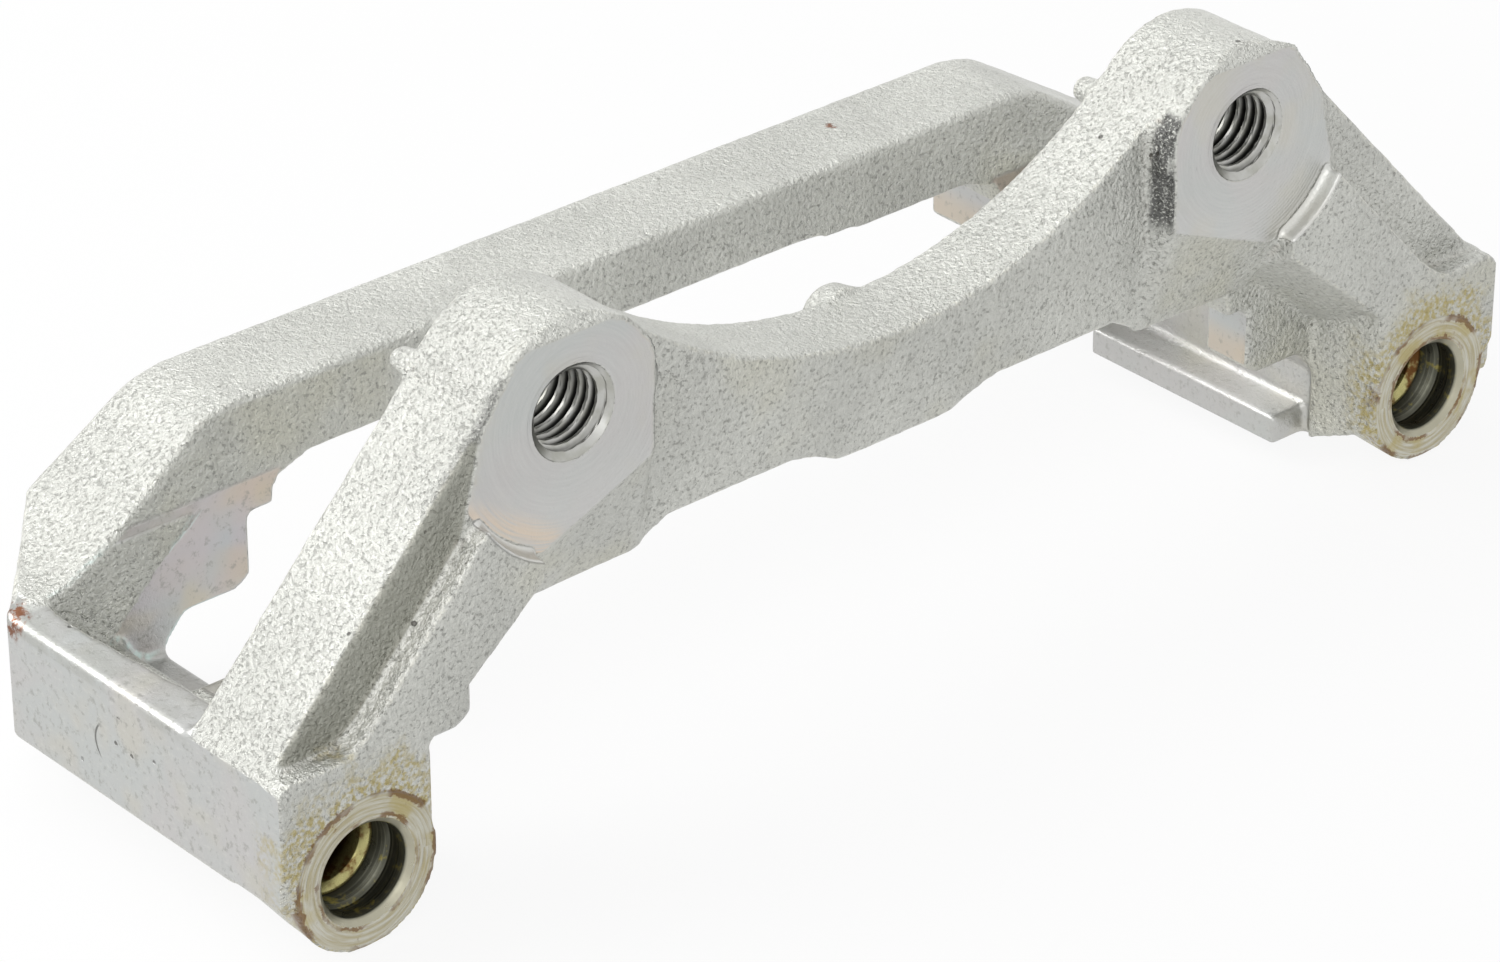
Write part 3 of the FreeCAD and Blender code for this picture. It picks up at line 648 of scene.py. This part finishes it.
def casting_waves(co):
    """Slow unevenness of a sand cast face at each point, from -1 to 1."""
    rng = np.random.default_rng(11)
    total = np.zeros(len(co))
    for length in WAVE_LENGTHS:
        way = rng.normal(size=3)
        way /= np.linalg.norm(way)
        total += np.sin(co @ way * 2 * math.pi / (length * MM) + rng.uniform(0, 2 * math.pi))
    return total / len(WAVE_LENGTHS)


def soften(mesh, rounds):
    """Rounds the cast edges, sets the cast faces in unevenly and notes where the edges are."""
    co = points_of(mesh)
    true_round(co)
    start = co.copy()
    normal = np.empty(len(co) * 3)
    mesh.vertices.foreach_get("normal", normal)
    free = keep_share(co)[:, None]
    edges = np.empty(len(mesh.edges) * 2, dtype=np.int64)
    mesh.edges.foreach_get("vertices", edges)
    a, b = edges.reshape(-1, 2).T
    count = np.bincount(np.concatenate([a, b]), minlength=len(co))[:, None].astype(float)
    count[count == 0] = 1
    for _ in range(rounds):
        total = np.zeros_like(co)
        for k in range(3):
            total[:, k] = np.bincount(a, co[b, k], len(co)) + np.bincount(b, co[a, k], len(co))
        co = co + (total / count - co) * 0.6 * free
    mesh.vertices.foreach_set("co", co.ravel())
    mesh.vertices.foreach_get("normal", normal)
    cast = np.clip((free[:, 0] - 0.5) * 2, 0, 1)
    depth = WAVE_DEPTH * (1 + casting_waves(co)) * cast
    mesh.vertices.foreach_set("co", (co - normal.reshape(-1, 3) * depth[:, None]).ravel())
    inset = ((start - co) * normal.reshape(-1, 3)).sum(axis=1) / (0.5 * MM)
    mesh.attributes.new("edge", "FLOAT", "POINT").data.foreach_set("value", np.clip(inset, -1, 1))
    mesh.update()


def clear_holes(mesh):
    """Takes the hole walls out of the skin, because the turned pieces stand for them."""
    bm = bmesh.new()
    bm.from_mesh(mesh)
    doomed = []
    for f in bm.faces:
        c = f.calc_center_median()
        ear = math.hypot(abs(c.x) - EAR_X, c.z - EAR_Z)
        pin = math.hypot(abs(c.x) - PIN_X, c.z - PIN_Z)
        depth = c.y - RING_Y
        if c.y < BACK_Y + MM and ear < 7.9 * MM:
            doomed.append(f)
        elif any(depth < to and pin < r for to, r in BORE_CLEAR):
            doomed.append(f)
    bmesh.ops.delete(bm, geom=doomed, context="FACES")
    bm.to_mesh(mesh)
    bm.free()


def revolved(name, profile, centres, material, around=96):
    """Turned pieces: one (radius, y) line spun about each axis, seen from inside."""
    bm = bmesh.new()
    for cx, cz in centres:
        rows = []
        for r, y in profile:
            if r < 1e-7:
                rows.append([bm.verts.new((cx, y, cz))])
                continue
            turns = [2 * math.pi * k / around for k in range(around)]
            rows.append([bm.verts.new((cx + r * math.cos(a), y, cz + r * math.sin(a))) for a in turns])
        for low, high in zip(rows, rows[1:]):
            for k in range(around):
                n = (k + 1) % around
                if len(high) == 1:
                    bm.faces.new((low[k], low[n], high[0]))
                else:
                    bm.faces.new((low[k], low[n], high[n], high[k]))
    for f in bm.faces:
        f.smooth = True
    mesh = bpy.data.meshes.new(name)
    bm.to_mesh(mesh)
    bm.free()
    face_inward(mesh, centres)
    return linked(name, mesh, material)


def face_inward(mesh, centres):
    """Turns each face toward its own axis, or toward the mouth where it is flat."""
    bm = bmesh.new()
    bm.from_mesh(mesh)
    for f in bm.faces:
        c = f.calc_center_median()
        cx, cz = min(centres, key=lambda p: math.hypot(c.x - p[0], c.z - p[1]))
        to_axis = Vector((cx - c.x, -0.5 * math.hypot(c.x - cx, c.z - cz) - 1e-6, cz - c.z))
        if f.normal.dot(to_axis) < 0:
            f.normal_flip()
    bm.to_mesh(mesh)
    bm.free()


def thread_tree(material):
    """Geometry nodes for the ear threads: a wall whose radius follows the helix, at both ears."""
    tree = bpy.data.node_groups.new("Ear Threads", "GeometryNodeTree")
    for label, value in (("Pitch", PITCH), ("Core Radius", CORE_R), ("Depth", FLANK),
                         ("Mouth Radius", MOUTH_R), ("Length", BACK_Y - EAR_Y), ("Spacing", 2 * EAR_X)):
        socket = tree.interface.new_socket(label, in_out="INPUT", socket_type="NodeSocketFloat")
        socket.default_value = value
        socket.subtype = "DISTANCE"
    tree.interface.new_socket("Geometry", in_out="OUTPUT", socket_type="NodeSocketGeometry")
    t = Tree(tree)
    i = t.add("NodeGroupInput").outputs
    wall = t.add("GeometryNodeMeshGrid")
    for label, value in (("Size X", 1.0), ("Size Y", 1.0), ("Vertices X", THREAD_AROUND),
                         ("Vertices Y", THREAD_ALONG)):
        wall.inputs[label].default_value = value
    u, v, _ = t.split(t.add("GeometryNodeInputPosition").outputs[0])
    turn = t.math("ADD", u, 0.5)
    depth = t.math("MULTIPLY", t.math("ADD", v, 0.5), i["Length"])
    phase = t.math("FRACT", t.math("ADD", t.math("DIVIDE", depth, i["Pitch"]), turn))
    off = t.math("ABSOLUTE", t.math("SUBTRACT", phase, 0.5))
    flank = t.step(off, CREST_EDGE, ROOT_EDGE, 1.0, 0.0)
    flank.node.interpolation_type = "LINEAR"
    thread = t.math("MULTIPLY_ADD", flank, i["Depth"], i["Core Radius"])
    cone = t.math("MAXIMUM", t.math("SUBTRACT", i["Mouth Radius"], depth),
                  t.math("SUBTRACT", i["Mouth Radius"], t.math("SUBTRACT", i["Length"], depth)))
    radius = t.math("MAXIMUM", thread, cone)
    angle = t.math("MULTIPLY", turn, 2 * math.pi)
    spot = t.join(t.math("MULTIPLY", radius, t.math("COSINE", angle)), depth,
                  t.math("MULTIPLY", radius, t.math("SINE", angle)))
    place = t.add("GeometryNodeSetPosition")
    t.put(place.inputs["Geometry"], wall.outputs["Mesh"])
    t.put(place.inputs["Position"], spot)
    closed = t.add("GeometryNodeMergeByDistance")
    t.put(closed.inputs["Geometry"], place.outputs[0])
    closed.inputs["Distance"].default_value = 1e-6
    pair = t.add("GeometryNodeMeshLine", mode="END_POINTS", count_mode="TOTAL")
    pair.inputs["Count"].default_value = 2
    half = t.math("MULTIPLY", i["Spacing"], 0.5)
    t.put(pair.inputs["Start Location"], t.join(t.math("MULTIPLY", half, -1.0), EAR_Y, EAR_Z))
    t.put(pair.inputs["Offset"], t.join(half, EAR_Y, EAR_Z))
    copies = t.add("GeometryNodeInstanceOnPoints")
    t.put(copies.inputs["Points"], pair.outputs["Mesh"])
    t.put(copies.inputs["Instance"], closed.outputs[0])
    real = t.add("GeometryNodeRealizeInstances")
    t.put(real.inputs[0], copies.outputs[0])
    finish = t.add("GeometryNodeSetMaterial")
    t.put(finish.inputs["Geometry"], real.outputs[0])
    finish.inputs["Material"].default_value = material
    t.put(t.add("NodeGroupOutput").inputs[0], finish.outputs[0])
    return tree


class BRACKET_OT_skin(Operator):
    """Make the plated cast skin over the solid"""
    bl_idname = "bracket.skin"
    bl_label = "Cast Skin"

    def execute(self, context):
        s = context.scene.bracket
        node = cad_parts[NODE]
        mesh = node.data.copy()
        bm = bmesh.new()
        bm.from_mesh(mesh)
        bmesh.ops.remove_doubles(bm, verts=bm.verts, dist=1e-6)
        bm.to_mesh(mesh)
        bm.free()
        skin = linked("cast_skin", mesh, bracket_zinc(s))
        remesh = skin.modifiers.new("skin", "REMESH")
        remesh.mode = "VOXEL"
        remesh.voxel_size = s.voxel
        applied(skin)
        soften(skin.data, s.rounds)
        clear_holes(skin.data)
        count = sum(len(p.vertices) - 2 for p in skin.data.polygons)
        if count > s.skin_triangles:
            thin = skin.modifiers.new("thin", "DECIMATE")
            thin.ratio = s.skin_triangles / count
            applied(skin)
        skin.data.materials.clear()
        skin.data.materials.append(bpy.data.materials["bracket_zinc"])
        skin.data.shade_smooth()
        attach(skin, "root")
        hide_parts(NODE)
        return {"FINISHED"}


class BRACKET_OT_threads(Operator):
    """Cut the threads of the two mounting ears"""
    bl_idname = "bracket.threads"
    bl_label = "Ear Threads"

    def execute(self, context):
        s = context.scene.bracket
        material = thread_zinc(s)
        holder = linked("ear_threads", bpy.data.meshes.new("ear_threads"), None)
        tree = thread_tree(material)
        cut = holder.modifiers.new("threads", "NODES")
        cut.node_group = tree
        wanted = {"Pitch": s.pitch, "Core Radius": s.minor_r, "Depth": s.thread_depth,
                  "Mouth Radius": s.mouth_r, "Length": BACK_Y - EAR_Y, "Spacing": 2 * EAR_X}
        for item in tree.interface.items_tree:
            if item.in_out == "INPUT" and item.name in wanted:
                cut[item.identifier] = wanted[item.name]
        applied(holder)
        centres = [(-EAR_X, EAR_Z), (EAR_X, EAR_Z)]
        face_inward(holder.data, centres)
        if not len(holder.data.polygons):
            raise RuntimeError("the thread tree made no faces")
        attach(holder, "root")
        lip = [(8.4 * MM, EAR_Y - RIM_PROUD), (7.62 * MM, EAR_Y - RIM_PROUD), (7.5 * MM, EAR_Y + 0.1 * MM)]
        rim = revolved("ear_hole_rims", lip, centres, bpy.data.materials["bracket_zinc"])
        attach(rim, "root")
        return {"FINISHED"}


class BRACKET_OT_bores(Operator):
    """Turn the stepped guide pin bores"""
    bl_idname = "bracket.bores"
    bl_label = "Pin Bores"

    def execute(self, context):
        s = context.scene.bracket
        y = RING_Y
        profile = [(r * MM, y + d * MM) for r, d in BORE_LINE]
        centres = [(-PIN_X, PIN_Z), (PIN_X, PIN_Z)]
        lip = [(9.6 * MM, y - RIM_PROUD), (8.62 * MM, y - RIM_PROUD), (8.5 * MM, y + 0.05 * MM)]
        rim = revolved("pin_bore_rims", lip, centres, bpy.data.materials["bracket_zinc"])
        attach(rim, "root")
        bores = revolved("pin_bores", profile, centres, bore_zinc(s))
        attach(bores, "root")
        return {"FINISHED"}


class BRACKET_OT_studio(Operator):
    """Set the floor, the soft light and the camera"""
    bl_idname = "bracket.studio"
    bl_label = "Studio"

    def execute(self, context):
        scene = context.scene
        scene.view_settings.view_transform = "Standard"
        bm = bmesh.new()
        bmesh.ops.create_grid(bm, x_segments=1, y_segments=1, size=FLOOR_SIZE)
        mesh = bpy.data.meshes.new("floor")
        bm.to_mesh(mesh)
        bm.free()
        linked("floor", mesh, floor_white())
        studio_world(scene)
        for name, where, size, watts in LAMPS:
            lamp = bpy.data.lights.new(name, "AREA")
            lamp.shape, lamp.size, lamp.energy = "SQUARE", size, watts
            obj = bpy.data.objects.new(name, lamp)
            scene.collection.objects.link(obj)
            obj.location = where
            obj.rotation_mode = "QUATERNION"
            obj.rotation_quaternion = (Vector(LAMP_TARGET) - Vector(where)).to_track_quat("-Z", "Y")
        photo_camera(scene)
        return {"FINISHED"}


def seen_ray(t):
    """Mask that is one for rays that show the background, straight, mirrored or through glass."""
    path = t.add("ShaderNodeLightPath").outputs
    return t.math("MAXIMUM", path["Is Camera Ray"],
                  t.math("MAXIMUM", path["Is Glossy Ray"], path["Is Transmission Ray"]))


def floor_white():
    """Pale floor that the camera sees as white but for the object's shadow."""
    material, t, shader = metal("floor_white")
    shader.inputs["Base Color"].default_value = (0.9, 0.9, 0.9, 1)
    shader.inputs["Roughness"].default_value = 0.9
    glow = t.add("ShaderNodeEmission")
    glow.inputs["Strength"].default_value = 1.0
    seen = seen_ray(t)
    mix = t.add("ShaderNodeMixShader")
    t.put(mix.inputs[0], t.math("MULTIPLY", seen, FLOOR_GLOW))
    t.put(mix.inputs[1], shader.outputs[0])
    t.put(mix.inputs[2], glow.outputs[0])
    t.put(material.node_tree.nodes["Material Output"].inputs["Surface"], mix.outputs[0])
    return material


def studio_world(scene):
    """Plain soft light all round, white where it is seen or mirrored."""
    world = bpy.data.worlds.new("studio")
    scene.world = world
    world.use_nodes = True
    t = Tree(world.node_tree)
    seen = seen_ray(t)
    background = world.node_tree.nodes["Background"]
    background.inputs["Color"].default_value = (1, 1, 1, 1)
    t.put(background.inputs["Strength"], t.step(seen, 0.0, 1.0, SOFT_LIGHT, SEEN_WHITE))


def photo_camera(scene):
    """Camera at the photograph's place and angle."""
    data = bpy.data.cameras.new("photo_camera")
    data.sensor_width = SENSOR_WIDTH
    data.lens = CAMERA_LENS
    data.clip_start, data.clip_end = 0.05, 20.0
    camera = bpy.data.objects.new("photo_camera", data)
    scene.collection.objects.link(camera)
    right = Vector(CAMERA_RIGHT).normalized()
    ahead = Vector(CAMERA_AHEAD).normalized()
    up = right.cross(ahead)
    turn = Matrix((right, up, -ahead)).transposed()
    camera.matrix_world = Matrix.Translation(CAMERA_PLACE) @ turn.to_4x4()
    scene.camera = camera


class BRACKET_PT_panel(Panel):
    bl_label = "Caliper Bracket"
    bl_idname = "BRACKET_PT_panel"
    bl_space_type = "VIEW_3D"
    bl_region_type = "UI"
    bl_category = "Bracket"

    def draw(self, context):
        layout = self.layout
        for name in BracketSettings.__annotations__:
            layout.prop(context.scene.bracket, name)
        for operator in (BRACKET_OT_skin, BRACKET_OT_threads, BRACKET_OT_bores, BRACKET_OT_studio):
            layout.operator(operator.bl_idname)


CLASSES = (BracketSettings, BRACKET_OT_skin, BRACKET_OT_threads, BRACKET_OT_bores, BRACKET_OT_studio,
           BRACKET_PT_panel)


def register():
    for c in CLASSES:
        bpy.utils.register_class(c)
    bpy.types.Scene.bracket = PointerProperty(type=BracketSettings)


def unregister():
    del bpy.types.Scene.bracket
    for c in reversed(CLASSES):
        bpy.utils.unregister_class(c)


def main():
    register()
    bpy.ops.bracket.skin()
    bpy.ops.bracket.threads()
    bpy.ops.bracket.bores()
    bpy.ops.bracket.studio()


if __name__ == "__main__":
    main()
